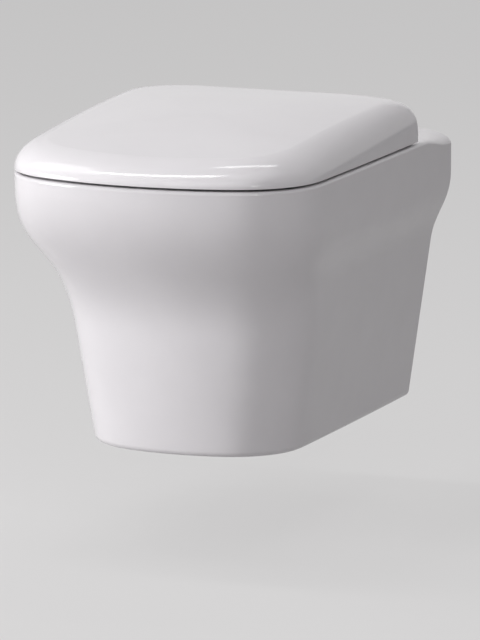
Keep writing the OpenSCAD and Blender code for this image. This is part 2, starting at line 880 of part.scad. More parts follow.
// Height of the lid's outer face at a distance in front of its rear edge
function lid_face(back) =
    let (
        u = 1 - clamp01(back / lid_rear_edge),
        rise = pow(1 - pow(u, lid_rear_square), 1 / lid_rear_square)
    )
    lid_z + mix(lid_skirt, lid_edge_h(along(-lid_rear - back)), rise);

module lid() {
    reach = 42;
    notch_x = lid_eye_x - 3;
    notch_w = seat_eye_x + eye_l + 3 - notch_x;
    notch_h = axis_z + barrel_r + 3 - rim_z;
    face = lid_face(reach);
    color(plastic_white)
        difference() {
            union() {
                difference() {
                    lid_form(0, lid_z, [90, 68, 50, 34, 20, 8, 0], [9, 9, 6, 6]);
                    lid_form(lid_t, lid_z - 1, [90, 55, 28, 8, 0], [6, 6, 4, 4]);
                    mirrored()
                        translate([notch_x, -lid_rear - notch_l, rim_z]) cube([notch_w, notch_l + 1, notch_h]);
                }
                mirrored() {
                    hinge_arm(
                        lid_eye_x,
                        [-lid_rear - reach, face - lid_t / 2],
                        [-lid_rear - reach, face - lid_t - 10]
                    );
                    lid_boss(bumper_bore_d - 2 * push_fit, lid_boss_z);
                }
            }
            mirrored() eye_bore(lid_eye_x);
        }
}

// Round boss under the lid's ceiling that carries a bumper
module lid_boss(d, low) {
    ceiling = lid_z + lid_edge_h(along(-lid_bumper_y)) - lid_t / 2;
    translate([lid_bumper_x, -lid_bumper_y, low]) cylinder(d = d, h = ceiling - low);
}

// Rubber caps that keep the lid off the seat
module lid_bumpers() {
    color(rubber_grey)
        mirrored()
            translate([lid_bumper_x, -lid_bumper_y, seat_top + seat_fit])
                difference() {
                    cylinder(d = bumper_d, h = bumper_h);
                    translate([0, 0, lid_boss_z - seat_top - seat_fit]) cylinder(d = bumper_bore_d, h = bumper_h);
                }
}

pan();
flush_inlet_seal();
fixing_sleeve(-1);  // fixing_sleeve_left
fixing_sleeve(1);  // fixing_sleeve_right
clamp_block(-1);  // clamp_block_left
clamp_block(1);  // clamp_block_right
clamp_screws();
access_plugs();
hinge_base(-1);  // hinge_base_left
hinge_base(1);  // hinge_base_right
base_gaskets();
hinge_screws();
expansion_plugs();
cone_nuts();
hinge_post(-1);  // hinge_post_left
hinge_post(1);  // hinge_post_right
hinge_pin(-1);  // hinge_pin_left
hinge_pin(1);  // hinge_pin_right
damper(-1, "#3d4043");  // seat_damper
damper(1, "#8e2f2a");  // lid_damper
seat();
bushes(seat_eye_x);  // seat_bushes
seat_bumpers();
lid();
bushes(lid_eye_x);  // lid_bushes
lid_bumpers();
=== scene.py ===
# Wall hung toilet: the looks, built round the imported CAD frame. The wall is the plane y = 0, +Z is up.
import bisect
import json
import math

import bpy
import bmesh
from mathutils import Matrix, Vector


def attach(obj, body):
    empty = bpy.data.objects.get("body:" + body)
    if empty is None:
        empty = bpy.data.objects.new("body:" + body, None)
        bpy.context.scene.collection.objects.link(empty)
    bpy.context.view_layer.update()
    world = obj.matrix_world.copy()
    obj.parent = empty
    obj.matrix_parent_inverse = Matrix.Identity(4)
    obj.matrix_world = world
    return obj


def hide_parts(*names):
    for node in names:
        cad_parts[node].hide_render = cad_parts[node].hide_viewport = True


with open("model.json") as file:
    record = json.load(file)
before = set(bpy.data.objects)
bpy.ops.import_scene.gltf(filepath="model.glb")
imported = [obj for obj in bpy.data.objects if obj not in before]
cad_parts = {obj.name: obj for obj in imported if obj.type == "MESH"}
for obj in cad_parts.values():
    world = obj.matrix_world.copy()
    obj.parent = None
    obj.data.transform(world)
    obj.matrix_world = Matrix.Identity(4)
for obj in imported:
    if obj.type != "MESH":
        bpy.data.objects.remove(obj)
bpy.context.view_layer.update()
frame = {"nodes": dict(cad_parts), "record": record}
nodes = frame["nodes"]
print("frame loaded")

# Shapes are worked out in millimetres, in the frame's axes, and turned to metres when a mesh is made
mm = 0.001


def mix(a, b, t):
    return a + (b - a) * t


def clamp01(t):
    return min(1.0, max(0.0, t))


def smooth(t):
    u = clamp01(t)
    return u * u * u * (10 - 15 * u + 6 * u * u)


def signPow(v, p):
    return math.copysign(abs(v) ** p, v)


# The points of a side crowd towards its corner by this power, because the sides are long and nearly straight
sideCrowding = 1.6


# Points of an arc, each with its outward normal
def arcPoints(cx, cy, r, a0, a1, steps, first=0, crowding=1.0):
    points = []
    for i in range(first, steps + 1):
        a = mix(a0, a1, (i / steps) ** crowding)
        points.append((cx + r * math.cos(a), cy + r * math.sin(a), math.cos(a), math.sin(a)))
    return points


# A plan is three tangent arcs: side, corner and front
def makePlan(length, halfWidth, widest, taper, frontR, cornerR):
    sideR = (widest ** 2 + taper ** 2) / (2 * taper)
    sx, sy, fy = halfWidth - sideR, -widest, frontR - length
    r1, r2 = sideR - cornerR, frontR - cornerR
    gap = math.hypot(sx, fy - sy)
    q = (r1 * r1 - r2 * r2 + gap * gap) / (2 * gap)
    ex, ey = -sx / gap, (fy - sy) / gap
    h = math.sqrt(max(0.0, r1 * r1 - q * q))
    cx, cy = sx + q * ex + h * ey, sy + q * ey - h * ex
    return {
        "side": (sx, sy, sideR), "front": (0.0, fy, frontR), "corner": (cx, cy, cornerR),
        "frontAngle": math.atan2(cy - fy, cx), "sideAngle": math.atan2(cy - sy, cx - sx),
    }


def halfToWall(plan, counts):
    sx, sy, sideR = plan["side"]
    return (
        arcPoints(*plan["front"], -math.pi / 2, plan["frontAngle"], counts[0])
        + arcPoints(*plan["corner"], plan["frontAngle"], plan["sideAngle"], counts[1], 1)
        + arcPoints(sx, sy, sideR, plan["sideAngle"], math.asin(-sy / sideR), counts[2], 1, sideCrowding)
    )


def halfToRear(plan, rear, rearR, counts):
    sx, sy, sideR = plan["side"]
    y = -rear - rearR
    reach = sideR - rearR
    cx = sx + math.sqrt(reach ** 2 - (y - sy) ** 2)
    turn = math.asin((y - sy) / reach)
    half = (
        arcPoints(*plan["front"], -math.pi / 2, plan["frontAngle"], counts[0])
        + arcPoints(*plan["corner"], plan["frontAngle"], plan["sideAngle"], counts[1], 1)
        + arcPoints(sx, sy, sideR, plan["sideAngle"], turn, counts[2], 1, sideCrowding)
        + arcPoints(cx, y, rearR, turn, math.pi / 2, counts[3], 1)
    )
    steps = counts[4]
    return half + [(cx * (1 - (i - 0.5) / (steps - 0.5)), -rear, 0.0, 1.0) for i in range(1, steps)]


def bothSides(half):
    return [(-x, y, -nx, ny) for x, y, nx, ny in reversed(half[1:])] + half


# Softens the joins between the arcs of a plan: each point moves to the mean of its stretch of the outline.
# The reach of that mean runs out towards the hinges, so the rear corners and the wall stay as they are.
easing = {"reach": 20.0, "least": 1.0, "rear": 130.0, "fade": 80.0}


def eased(points):
    places, sums = [0.0], [(0.0, 0.0)]
    for a, b in zip(points, points[1:]):
        step = math.hypot(b[0] - a[0], b[1] - a[1])
        places.append(places[-1] + step)
        sums.append((sums[-1][0] + step * (a[0] + b[0]) / 2, sums[-1][1] + step * (a[1] + b[1]) / 2))

    def sumTo(place):
        i = min(bisect.bisect_right(places, place), len(places) - 1) - 1
        a, b, step = points[i], points[i + 1], place - places[i]
        share = step / (places[i + 1] - places[i]) / 2
        return sums[i][0] + step * mix(a[0], b[0], share), sums[i][1] + step * mix(a[1], b[1], share)

    moved = []
    for point, place in zip(points, places):
        reach = easing["reach"] * clamp01((-point[1] - easing["rear"]) / easing["fade"])
        reach = min(reach, place, places[-1] - place)
        if reach > easing["least"]:
            low, high = sumTo(place - reach), sumTo(place + reach)
            point = ((high[0] - low[0]) / (2 * reach), (high[1] - low[1]) / (2 * reach)) + tuple(point[2:])
        moved.append(point)
    return moved


# Makes an object of what the bmesh holds and puts it in the scene
def meshObject(bm, name):
    mesh = bpy.data.meshes.new(name)
    bm.to_mesh(mesh)
    bm.free()
    obj = bpy.data.objects.new(name, mesh)
    bpy.context.scene.collection.objects.link(obj)
    return obj


# Turns rings of points, highest first and anticlockwise from above, into a closed solid
def loftObject(name, rings):
    bm = bmesh.new()
    rows = [[bm.verts.new([c * mm for c in p]) for p in ring] for ring in rings]
    count = len(rings[0])
    for upper, lower in zip(rows, rows[1:]):
        for i in range(count):
            j = (i + 1) % count
            bm.faces.new((upper[i], upper[j], lower[j], lower[i]))
    for row, flip in ((rows[0], True), (rows[-1], False)):
        middle = bm.verts.new(sum((v.co for v in row), Vector()) / count)
        for i in range(count):
            j = (i + 1) % count
            bm.faces.new((row[j], row[i], middle) if flip else (row[i], row[j], middle))
    bmesh.ops.recalc_face_normals(bm, faces=bm.faces)
    return meshObject(bm, name)


# A closed strip of rings whose last row joins the first, like the section of a ring seat
def hoopObject(name, rows):
    bm = bmesh.new()
    made = [[bm.verts.new([c * mm for c in p]) for p in row] for row in rows]
    for a, b in zip(made, made[1:] + made[:1]):
        for i in range(len(a)):
            j = (i + 1) % len(a)
            bm.faces.new((a[i], a[j], b[j], b[i]))
    bmesh.ops.recalc_face_normals(bm, faces=bm.faces)
    return meshObject(bm, name)


def circleRing(axis, centre, r, place, segments=72):
    ring = []
    for i in range(segments):
        a = 2 * math.pi * i / segments
        u, v = r * math.cos(a), r * math.sin(a)
        if axis == "z":
            ring.append((centre[0] + u, centre[1] + v, place))
        elif axis == "y":
            ring.append((centre[0] + u, place, centre[1] + v))
        else:
            ring.append((place, centre[0] + u, centre[1] + v))
    return ring


# A round bar along an axis; stops is a list of (place along the axis, radius)
def roundBar(name, axis, centre, stops, segments=72):
    return loftObject(name, [circleRing(axis, centre, r, place, segments) for place, r in stops])


def boxObject(name, low, high):
    x0, y0, z0 = low
    x1, y1, z1 = high
    return loftObject(name, [[(x0, y0, z), (x1, y0, z), (x1, y1, z), (x0, y1, z)] for z in (z1, z0)])


# Joins or cuts one solid with another and drops the tool
def combine(target, tool, operation):
    mod = target.modifiers.new("combine", "BOOLEAN")
    mod.operation = operation
    mod.solver = "MANIFOLD"
    mod.object = tool
    depsgraph = bpy.context.evaluated_depsgraph_get()
    mesh = bpy.data.meshes.new_from_object(target.evaluated_get(depsgraph))
    target.modifiers.clear()
    old = target.data
    target.data = mesh
    bpy.data.meshes.remove(old)
    bpy.data.objects.remove(tool)
    return target


def cut(target, *tools):
    for tool in tools:
        combine(target, tool, "DIFFERENCE")
    return target


def join(target, *tools):
    for tool in tools:
        combine(target, tool, "UNION")
    return target


# Edges sharper than this many degrees stay crisp; the weight makes large flat faces keep their own normals
shading = {"creaseAngle": 34, "flatWeight": 60}


def finishSurface(obj):
    for face in obj.data.polygons:
        face.use_smooth = True
    obj.data.set_sharp_from_angle(angle=math.radians(shading["creaseAngle"]))
    mod = obj.modifiers.new("flatFaces", "WEIGHTED_NORMAL")
    mod.keep_sharp = True
    mod.weight = shading["flatWeight"]
    return obj


pan = {
    # the rim's plan and edge
    "rimZ": 80.0, "rimLength": 540.0, "rimHalfWidth": 180.0, "rimWidest": 398.0, "rimTaper": 7.3,
    "rimFrontR": 354.0, "rimCornerR": 95.0, "rimEdgeR": 4.0, "deckEdgeW": 41.0, "deckEdgeH": 16.0,
    # the base's plan and edge
    "height": 318.0, "baseLength": 427.0, "baseHalfWidth": 124.0, "baseWidest": 300.0, "baseTaper": 3.5,
    "baseFrontR": 238.0, "baseCornerR": 84.0, "baseEdgeR": 7.0,
    # how the skirt draws in from the rim to the base, and where its first ring lies below the rounded edge
    "sideStart": 41.0, "sideNeck": 132.0, "sideShare": 0.48, "frontNeck": 190.0, "frontShare": 0.87,
    "edgeGap": 0.5,
    # thickness of the ceramic
    "wall": 12.0, "deck": 15.0, "floor": 13.0, "web": 16.0, "webDrop": 32.0, "bowlWall": 9.0,
    # the bowl and the lip of the trap
    "rimFrontWidth": 48.0, "rimSideWidth": 45.0, "bowlBack": 150.0, "bowlEdgeR": 6.0, "ledgeDepth": 66.0,
    "ledge": 12.0, "lipBack": 205.0, "lipDepth": 250.0, "trapHalfWidth": 41.0, "throat": 45.0,
    # the outlet, the flush inlet and the fixing holes
    "outletZ": -100.0, "outletOuterR": 51.0, "outletInnerR": 42.0, "outletInset": 6.0, "spigotStart": 46.0,
    "inletZ": 35.0, "socketR": 27.5, "socketDepth": 45.0, "channelR": 19.0, "channelPast": 4.0,
    "studX": 90.0, "sleeveR": 12.05, "accessR": 12.0, "accessY": -34.0, "accessDepth": 14.0,
    "deckHoleR": 7.5, "postX": 77.5, "screwY": -107.0,
    # fineness: points of front, corner and side, rings of the skirt and turns of its rounded edges in degrees
    "counts": (30, 30, 24), "skirtRings": 64, "hollowCounts": (16, 16, 12), "hollowRings": 30,
    "rimTurns": (90, 80, 70, 60, 50, 40, 30, 20, 10, 2), "baseTurns": (12, 24, 36, 48, 60, 72, 82, 90),
}
baseZ = pan["rimZ"] - pan["height"]

# The dense shells stay this far within the CAD, whose facets cut its curves short
facetInset = {"pan": 0.03, "lid": 0.1}

# Cutting tools stand out past the faces that they cut by these lengths
past = {"far": 40.0, "wall": 5.0, "edge": 3.0, "face": 2.0, "near": 1.0, "halfWidth": 200.0}


# Share of the tuck at a depth below the rim: an S down to the neck, then a straight taper
def tuck(depth, start, neck, share):
    taper = (depth - neck) / (pan["height"] - neck)
    return smooth((depth - start) / (neck - start)) * mix(share, 1, taper)


def skirtPlan(depth):
    s = tuck(depth, pan["sideStart"], pan["sideNeck"], pan["sideShare"])
    f = tuck(depth, 0, pan["frontNeck"], pan["frontShare"])
    return makePlan(
        mix(pan["rimLength"], pan["baseLength"], f), mix(pan["rimHalfWidth"], pan["baseHalfWidth"], s),
        mix(pan["rimWidest"], pan["baseWidest"], s), mix(pan["rimTaper"], pan["baseTaper"], s),
        mix(pan["rimFrontR"], pan["baseFrontR"], s), mix(pan["rimCornerR"], pan["baseCornerR"], s))


lid = {
    "gap": 3.0, "wall": 4.5, "rear": 102.0, "rearR": 19.0, "skirt": 0.5, "frontHeight": 28.0,
    "rearHeight": 57.0, "frontEdge": 48.0, "rearEdge": 35.0, "frontSquare": 1.9, "rearSquare": 3.2,
    "crown": 5.0, "arch": 7.0, "cornerGrowth": 2.0,
    # the notches round the hinges, the hinge arms and the bosses of the bumpers
    "notch": (41.9, 113.1), "notchLength": 19.0, "notchTop": 126.0, "armReach": 42.0, "armDepth": 10.0,
    "bossX": 70.0, "bossFront": 68.0, "bossR": 3.95, "bossFoot": 99.0, "bossPoints": 48,
    # fineness: points of front, corner, side, rear corner and rear, rings of the edge and of the top
    "counts": (30, 30, 26, 18, 10), "rings": 26, "insideCounts": (16, 16, 14, 10, 6), "insideRings": 14,
    "topRings": 12, "topTurn": 81, "crowding": 1.15,
}
lidZ = pan["rimZ"] + lid["gap"]


# Width and height of the deck's edge, which grow from the lid to the wall
def deckEdge(y):
    share = smooth(1 + y / lid["rear"])
    return mix(pan["rimEdgeR"], pan["deckEdgeW"], share), mix(pan["rimEdgeR"], pan["deckEdgeH"], share)


# A ring of the skirt at a depth, moved in by a margin; with a turn it lies on the rounded top edge
def skirtRing(depth, margin, wallY, counts, turn=None):
    points = bothSides(halfToWall(skirtPlan(depth), counts))
    ring = []
    for i, (x, y, nx, ny) in enumerate(points):
        inset, drop = margin, depth
        if turn is not None:
            width, height = deckEdge(y)
            inset, drop = margin + width * (1 - math.cos(turn)), height * (1 - math.sin(turn))
        atWall = i in (0, len(points) - 1)
        ring.append((x - inset * nx, wallY if atWall else y - inset * ny, pan["rimZ"] - drop))
    return eased(ring)


def skirtSolid():
    counts = pan["counts"]
    steps = pan["skirtRings"]
    r, inset = pan["baseEdgeR"], facetInset["pan"]
    first, last = pan["deckEdgeH"] + pan["edgeGap"], pan["height"] - r
    rings = [skirtRing(0, inset, 0, counts, math.radians(turn)) for turn in pan["rimTurns"]]
    rings += [skirtRing(mix(first, last, i / steps), inset, 0, counts) for i in range(steps + 1)]
    for turn in pan["baseTurns"]:
        a = math.radians(turn)
        rings.append(skirtRing(last + r * math.sin(a), inset + r * (1 - math.cos(a)), 0, counts))
    return loftObject("panShell", rings)


def skirtHollow():
    low, high, steps, wall = pan["deck"], pan["height"] - pan["floor"], pan["hollowRings"], pan["wall"]
    return loftObject("panHollow", [skirtRing(mix(low, high, i / steps), wall, wall, pan["hollowCounts"])
                                    for i in range(steps + 1)])


# The waterway is a row of stations from the bowl's opening, round the trap's lip and up to the spigot.
# A station holds the rear or upper point, the front or lower point and the half width.
lipR = pan["bowlWall"]
lipY, lipZ = -pan["lipBack"], pan["rimZ"] - pan["lipDepth"] + lipR
waterway = {
    # how the bowl narrows with depth: exponents of its front, rear and width, and what it ends in
    "frontPower": 1.25, "rearPower": 1.4, "widthPower": 1.5, "mouthReach": 135, "mouthSpread": 12,
    # the turn round the lip, in degrees, where it narrows and how much wider it is at the start
    "lipStart": 182, "lipStep": 4, "lipSide": 180, "lipUnder": 270, "lipPower": 0.6, "lipGrowth": 8,
    "lipGrowthTurn": 45, "lipSpread": 6, "lipSpreadTurn": 140, "riseAngle": 318,
    # the climb to the crest, and the crest's sections as (turn in degrees, radius)
    "climbDrop": 18, "crestShift": 6, "crestLift": 1, "crests": ((118, 57), (111, 57.5), (104, 58)),
    # places of the other stations and the points of a ring; wide rings are squarer
    "edgeStep": 9, "rimDepths": (16, 30, 44, 54), "ledgeLead": 8, "bowlSteps": 40, "bowlStations": 36,
    "riseSteps": 10, "endPlaces": (-46, -36), "endInset": 2, "points": 128, "squareFrom": 60, "squareTo": 2.4,
}
# The ceramic round the waterway has coarser stations, because only the shell's hollow shows it
walls = {
    "deckLap": 2, "bowlSteps": 20, "bowlShare": 0.88, "lipGrow": 1, "lipStart": 190, "lipStep": 8,
    "rises": (0.1, 0.3, 0.5, 0.6), "crests": ((118, 57), (104, 58)), "endPlaces": (-46, -30), "points": 96,
}
riseAngle = waterway["riseAngle"]


def bowlStation(t):
    w = waterway
    z = pan["rimZ"] - mix(pan["ledgeDepth"], pan["lipDepth"] - lipR, t)
    front = mix(pan["rimLength"] - pan["rimFrontWidth"] - pan["ledge"], pan["lipBack"] + w["mouthReach"],
                t ** w["frontPower"])
    rear = mix(pan["bowlBack"] + pan["ledge"], pan["lipBack"] + lipR, t ** w["rearPower"])
    width = mix(pan["rimHalfWidth"] - pan["rimSideWidth"] - pan["ledge"],
                pan["trapHalfWidth"] + w["mouthSpread"], t ** w["widthPower"])
    return ((-rear, z), (-front, z), width)


def rimStation(depth, flare):
    z = pan["rimZ"] - depth
    return ((-pan["bowlBack"] + flare, z), (-(pan["rimLength"] - pan["rimFrontWidth"]) - flare, z),
            pan["rimHalfWidth"] - pan["rimSideWidth"] + flare)


# Reach from the middle of the lip to the far side of the waterway, at a turn round the lip
def throatReach(turn):
    near, side, under = lipR + pan["throat"], waterway["lipSide"], waterway["lipUnder"]
    if turn < under:
        narrowing = clamp01((turn - side) / (under - side)) ** waterway["lipPower"]
        return mix(waterway["mouthReach"], near, narrowing)
    return mix(near, near + waterway["lipGrowth"], (turn - under) / waterway["lipGrowthTurn"])


def lipStation(turn, inner=lipR):
    a = math.radians(turn)
    c, s, r = math.cos(a), math.sin(a), throatReach(turn)
    return ((lipY + inner * c, lipZ + inner * s), (lipY + r * c, lipZ + r * s),
            pan["trapHalfWidth"] + waterway["lipSpread"] * (riseAngle - turn) / waterway["lipSpreadTurn"])


def riseStation(t):
    top, foot, _ = lipStation(riseAngle)
    climb = (pan["outletZ"] - waterway["climbDrop"] - foot[1]) * t
    along = climb / math.tan(math.radians(riseAngle - waterway["lipUnder"]))
    return ((top[0] + along, top[1] + climb), (foot[0] + along, foot[1] + climb), pan["trapHalfWidth"])


crest = riseStation(1)[1]


def crestStation(turn, r):
    a, shift = math.radians(turn), waterway["crestShift"]
    return ((crest[0] + r * math.cos(a) + shift, crest[1] + r * math.sin(a)),
            (crest[0] + shift, crest[1] + waterway["crestLift"]), pan["trapHalfWidth"])


def endStation(y):
    r = pan["outletInnerR"] - waterway["endInset"]
    return ((y, pan["outletZ"] + r), (y, pan["outletZ"] - r), r)


def stationRing(station, grow, count):
    (ry, rz), (fy, fz), width = station
    length = math.hypot(fy - ry, fz - rz)
    uy, uz = (fy - ry) / length, (fz - rz) / length
    squareFrom = waterway["squareFrom"]
    power = 2 / mix(2, waterway["squareTo"], clamp01((width - squareFrom) / squareFrom))
    ring = []
    for i in range(count):
        a = 2 * math.pi * i / count + math.pi / 2
        reach = (length / 2 + grow) * signPow(math.sin(a), power)
        side = (width + grow) * signPow(math.cos(a), power)
        ring.append((side, (ry + fy) / 2 - reach * uy, (rz + fz) / 2 - reach * uz))
    return ring


def waterwaySolid():
    w, r = waterway, pan["bowlEdgeR"]
    stations = [rimStation(-past["near"], r)]
    for turn in range(0, 91, w["edgeStep"]):
        a = math.radians(turn)
        stations.append(rimStation(r * (1 - math.cos(a)), r * (1 - math.sin(a))))
    stations += [rimStation(depth, 0) for depth in w["rimDepths"]]
    stations += [rimStation(pan["ledgeDepth"] - w["ledgeLead"], 0)]
    stations += [bowlStation(i / w["bowlSteps"]) for i in range(w["bowlStations"])]
    stations += [lipStation(turn) for turn in range(w["lipStart"], riseAngle, w["lipStep"])]
    stations += [riseStation(i / w["riseSteps"]) for i in range(1, w["riseSteps"] - 1)]
    stations += [crestStation(turn, reach) for turn, reach in w["crests"]]
    stations += [endStation(y) for y in w["endPlaces"]]
    return loftObject("waterway", [stationRing(s, 0, w["points"]) for s in stations])


def waterwayWalls():
    w, steps = walls, walls["bowlSteps"]
    stations = [rimStation(pan["deck"] - w["deckLap"], 0),
                rimStation(pan["ledgeDepth"] - waterway["ledgeLead"], 0)]
    stations += [bowlStation(i / steps * w["bowlShare"]) for i in range(steps + 1)]
    turns = range(w["lipStart"], riseAngle + 1, w["lipStep"])
    stations += [lipStation(turn, lipR + w["lipGrow"]) for turn in turns]
    stations += [riseStation(t) for t in w["rises"]]
    stations += [crestStation(turn, reach) for turn, reach in w["crests"]]
    stations += [endStation(y) for y in w["endPlaces"]]
    return loftObject("waterwayWalls", [stationRing(s, pan["bowlWall"], w["points"]) for s in stations])


def buildPan():
    shell = skirtSolid()
    hollow = skirtHollow()
    inlet, outlet = (0, pan["inletZ"]), (0, pan["outletZ"])
    channelEnd = -(pan["bowlBack"] + pan["ledge"] + pan["channelPast"])

    def evenBar(name, axis, centre, start, end, r):
        return roundBar(name, axis, centre, [(start, r), (end, r)])

    # What stays solid is cut from the hollow first, and then the hollow from the shell
    cut(
        hollow, waterwayWalls(),
        boxObject("web", (-past["halfWidth"], -pan["web"], -pan["webDrop"]),
                  (past["halfWidth"], past["far"], pan["rimZ"])),
        evenBar("horn", "y", inlet, past["far"], -pan["socketDepth"] - pan["wall"],
                pan["socketR"] + pan["wall"]),
        evenBar("channel", "y", inlet, -pan["socketDepth"], channelEnd, pan["channelR"] + pan["bowlWall"]),
        evenBar("spigot", "y", outlet, -pan["outletInset"], -pan["spigotStart"], pan["outletOuterR"]))
    cut(
        shell, hollow, waterwaySolid(),
        evenBar("outletBore", "y", outlet, past["wall"], -pan["spigotStart"], pan["outletInnerR"]),
        evenBar("socketBore", "y", inlet, past["wall"], -pan["socketDepth"], pan["socketR"]),
        evenBar("channelBore", "y", inlet, past["wall"], channelEnd, pan["channelR"]))
    for side in (-1, 1):
        studX, postX = side * pan["studX"], side * pan["postX"]
        cut(
            shell,
            evenBar("sleeveBore", "y", (studX, 0), past["wall"], -pan["web"] - past["near"], pan["sleeveR"]),
            evenBar("accessBore", "z", (studX, pan["accessY"]), baseZ + pan["accessDepth"],
                    baseZ - past["face"], pan["accessR"]),
            evenBar("deckBore", "z", (postX, pan["screwY"]), pan["rimZ"] + past["face"],
                    pan["rimZ"] - pan["deck"] - past["near"], pan["deckHoleR"]))
    shell.name = "glazedPan"
    return finishSurface(shell)


# Place of a lid point between the front and the rear edge, 0 to 1
def lidPlace(y):
    return (y + pan["rimLength"]) / (pan["rimLength"] - lid["rear"])


def lidPlan(frontInset, rearInset):
    k = pan["rimTaper"] / pan["rimWidest"] ** 2
    shift = (rearInset - frontInset) / (pan["rimLength"] - lid["rear"]) / (2 * k)
    middle = mix(frontInset, rearInset, lidPlace(-pan["rimWidest"]))
    widest = pan["rimWidest"] + shift
    return makePlan(pan["rimLength"] - frontInset, pan["rimHalfWidth"] - middle + k * shift * shift, widest,
                    k * widest * widest, pan["rimFrontR"] - frontInset, pan["rimCornerR"] - middle)


def lidEdgeHeight(place):
    arch = 4 * lid["arch"] * place * (1 - place)
    return mix(lid["frontHeight"], lid["rearHeight"], place) - lid["crown"] + arch


# Ring of the lid's rounded edge: turn 0 is its foot and turn 90 its top
def lidRing(turn, margin, counts):
    c, s = max(0.0, math.cos(math.radians(turn))), math.sin(math.radians(turn))
    frontShare, rearShare = 1 - c ** (2 / lid["frontSquare"]), 1 - c ** (2 / lid["rearSquare"])
    rearInset = mix(margin, lid["rearEdge"], rearShare)
    rearR = lid["rearR"] + lid["cornerGrowth"] * lid["rearEdge"] * rearShare
    around = lidPlan(mix(margin, lid["frontEdge"], frontShare), rearInset)
    ring = []
    for x, y, nx, ny in eased(bothSides(halfToRear(around, lid["rear"] + rearInset, rearR, counts))):
        place = lidPlace(y)
        rise = s ** (2 / mix(lid["frontSquare"], lid["rearSquare"], place))
        ring.append((x, y, lidZ + mix(lid["skirt"], lidEdgeHeight(place) - margin, rise)))
    return ring


# The crowned top runs into the rounded edge where both slope alike, at the turn that the settings give
def lidForm(name, margin, low, counts, rings):
    edge = lidRing(90, margin, counts)
    midY = -(pan["rimLength"] + lid["rear"]) / 2
    rows = []
    for i in range(1, lid["topRings"]):
        s = i / lid["topRings"]
        row = []
        for x, y, z in edge:
            along = midY + s * (y - midY)
            height = lidZ + lidEdgeHeight(lidPlace(along)) - margin + lid["crown"] * (1 - s * s)
            row.append((s * x, along, height))
        rows.append(row)
    for i in range(rings + 1):
        rows.append(lidRing(lid["topTurn"] * (1 - i / rings) ** lid["crowding"], margin, counts))
    rows.append([(x, y, low) for x, y, z in rows[-1]])
    return loftObject(name, rows)


hinge = {
    "back": 90.0, "axisZ": 115.0, "eyeR": 8.0, "eyeLength": 15.0, "eyeBoreR": 4.55,
    "lidEyeX": 44.9, "seatEyeX": 95.1,
}


# Hinge arm: an eye on the axis and a flat web that reaches to two points of its part
def hingeArm(name, side, x0, upper, lower):
    cy, cz, r = -hinge["back"], hinge["axisZ"], hinge["eyeR"]
    x1 = x0 + hinge["eyeLength"]

    def tangent(point, sign):
        dy, dz = point[0] - cy, point[1] - cz
        d = math.hypot(dy, dz)
        return (cy + sign * r * dz / d, cz - sign * r * dy / d)

    outline = [(cy, cz), tangent(upper, 1), upper, lower, tangent(lower, -1)]
    xs = sorted((side * x0, side * x1))
    web = loftObject(name, [[(x, y, z) for y, z in outline] for x in xs])
    return join(web, roundBar("eye", "x", (cy, cz), [(xs[1], r), (xs[0], r)]))


def eyeBore(side, x0):
    xs = sorted((side * (x0 - past["near"]), side * (x0 + hinge["eyeLength"] + past["near"])))
    r = hinge["eyeBoreR"]
    return roundBar("eyeBore", "x", (-hinge["back"], hinge["axisZ"]), [(xs[1], r), (xs[0], r)])


def buildLid():
    shell = lidForm("lidShell", facetInset["lid"], lidZ, lid["counts"], lid["rings"])
    rear, wall = -lid["rear"], lid["wall"]
    cut(shell, lidForm("lidInside", wall, lidZ - past["near"], lid["insideCounts"], lid["insideRings"]))
    armY, bossY = rear - lid["armReach"], -(pan["rimLength"] - lid["bossFront"])
    armTop = lidZ + lidEdgeHeight(lidPlace(armY))
    bossTop = lidZ + lidEdgeHeight(lidPlace(bossY)) - wall / 2
    for side in (-1, 1):
        low, high = sorted((side * lid["notch"][0], side * lid["notch"][1]))
        cut(shell, boxObject("notch", (low, rear - lid["notchLength"], pan["rimZ"]),
                             (high, rear + past["edge"], lid["notchTop"])))
        boss = roundBar("boss", "z", (side * lid["bossX"], bossY),
                        [(bossTop, lid["bossR"]), (lid["bossFoot"], lid["bossR"])], lid["bossPoints"])
        join(shell, hingeArm("lidArm", side, hinge["lidEyeX"], (armY, armTop - wall / 2),
                             (armY, armTop - wall - lid["armDepth"])), boss)
        cut(shell, eyeBore(side, hinge["lidEyeX"]))
    shell.name = "duroplastLid"
    return finishSurface(shell)


seat = {
    "lift": 4.5, "thickness": 11.5, "inset": 19.0, "rear": 123.0, "cornerR": 20.0,
    # the hole, and how square it and the ring's rounded section are
    "holeRear": 190.0, "holeFront": 458.0, "holeHalfWidth": 112.0, "holeSquare": 2.3, "widthPower": 0.62,
    "heightPower": 0.7,
    # where the arms meet the ring, as (reach, share of the thickness), and the bores for the bumpers' pegs
    "armUpper": (16, 0.85), "armLower": (10, 0.2), "pegs": ((96, -490), (142, -195)), "pegR": 3.0,
    "pegDepth": 6.0, "pegPoints": 32,
    "counts": (24, 22, 20, 14, 10), "section": 40,
}
seatMiddle = -(seat["holeRear"] + seat["holeFront"]) / 2


def seatHole(a):
    halfLength, p = (seat["holeFront"] - seat["holeRear"]) / 2, seat["holeSquare"]
    r = ((abs(math.cos(a)) / seat["holeHalfWidth"]) ** p + (abs(math.sin(a)) / halfLength) ** p) ** (-1 / p)
    return r * math.cos(a), seatMiddle + r * math.sin(a)


